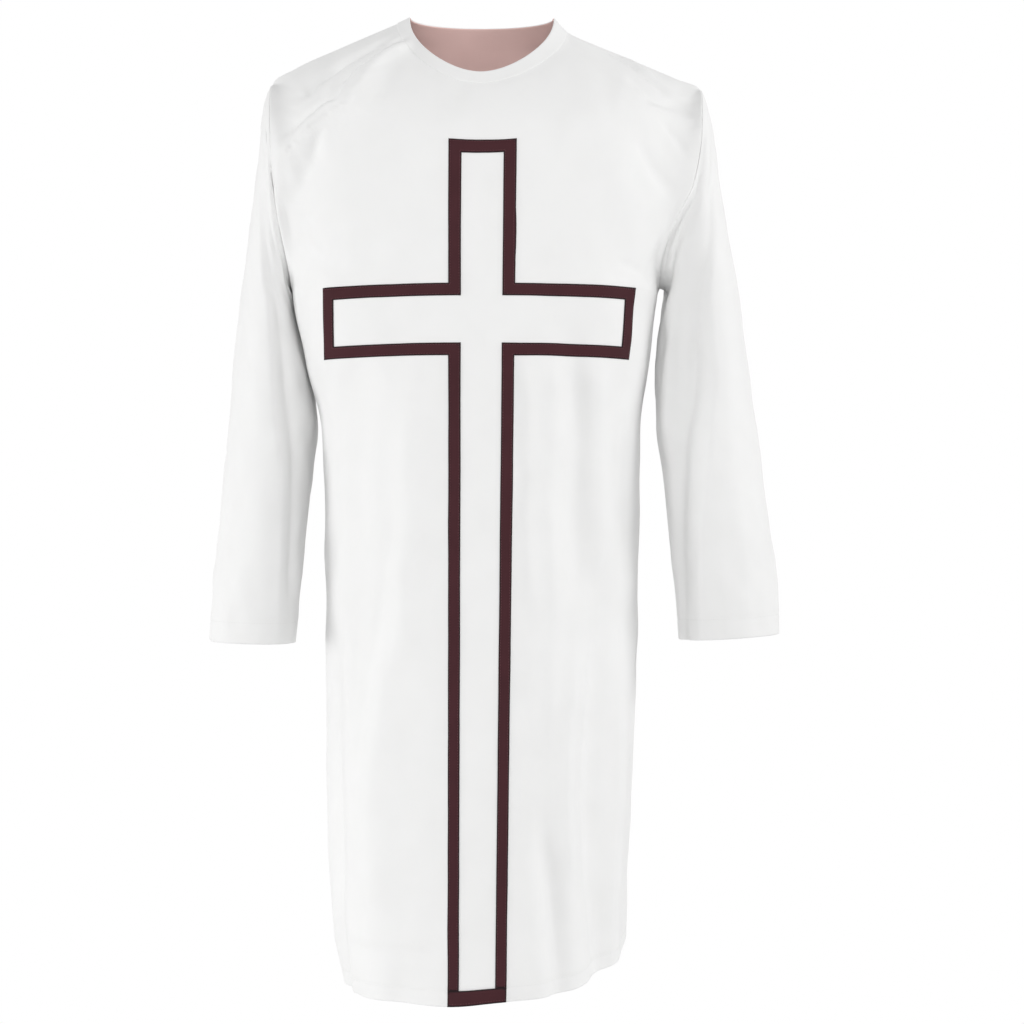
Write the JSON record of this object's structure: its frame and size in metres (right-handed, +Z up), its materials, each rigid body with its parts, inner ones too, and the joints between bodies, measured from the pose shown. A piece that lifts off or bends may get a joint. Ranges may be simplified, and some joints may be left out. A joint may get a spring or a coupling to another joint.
{
  "type": "surcoat",
  "caption": "White long-sleeved calf-length surcoat with round neck band, applied maroon tape outlining a long Latin cross on the front, worn hollow form.",
  "frame": {"origin": "midway between the middles of the two shoulder seams, where the wearer's shoulders hold the garment", "axes": "+Z up along the garment from hem to neck, -Y out of the front, +X to the wearer's left"},
  "size_m": [0.6506, 0.2858, 1.1109],
  "materials": {
    "white_cloth": "matt woven cloth with a soft sheen",
    "maroon_tape": "matt woven tape",
    "rose_facing": "matt woven cloth"
  },
  "bodies": {
    "root": {"front": "white_cloth", "back": "white_cloth", "sleeve_right": "white_cloth", "sleeve_left": "white_cloth", "neck_band": "white_cloth", "back_neck_facing": "rose_facing", "cross_tape": "maroon_tape", "cross_foot": "maroon_tape"}
  },
  "joints": []
}
